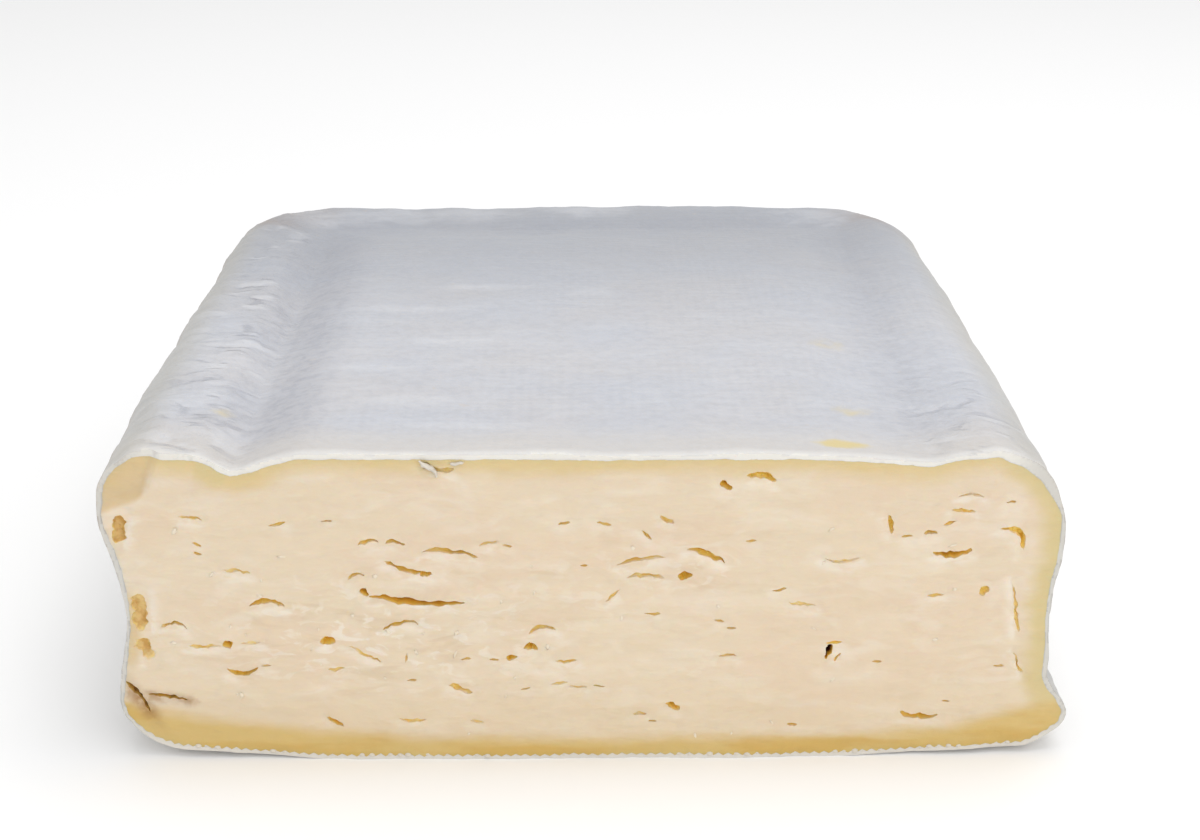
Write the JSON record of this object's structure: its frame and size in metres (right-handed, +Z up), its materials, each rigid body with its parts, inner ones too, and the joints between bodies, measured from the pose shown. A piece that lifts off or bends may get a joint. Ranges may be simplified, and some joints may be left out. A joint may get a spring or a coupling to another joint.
{
  "type": "cut block of brie cheese",
  "caption": "Square block of soft white-rind cheese with its front cut off, showing pale creamy paste with cracks and small holes under a thin rind.",
  "frame": {"origin": "middle of the bounding box at the height it stands on", "axes": "+Z up, -Y out of the cut face, +X to the right seen from the cut"},
  "size_m": [0.1576, 0.1542, 0.055],
  "materials": {
    "rind": "velvety bloomy rind, cool greyish white, with faint mat marks and tan wear at the edges",
    "paste": "pale cream paste, softly moist, deeper yellow under the rind"
  },
  "bodies": {
    "root": {"brie": "rind"}
  },
  "joints": []
}
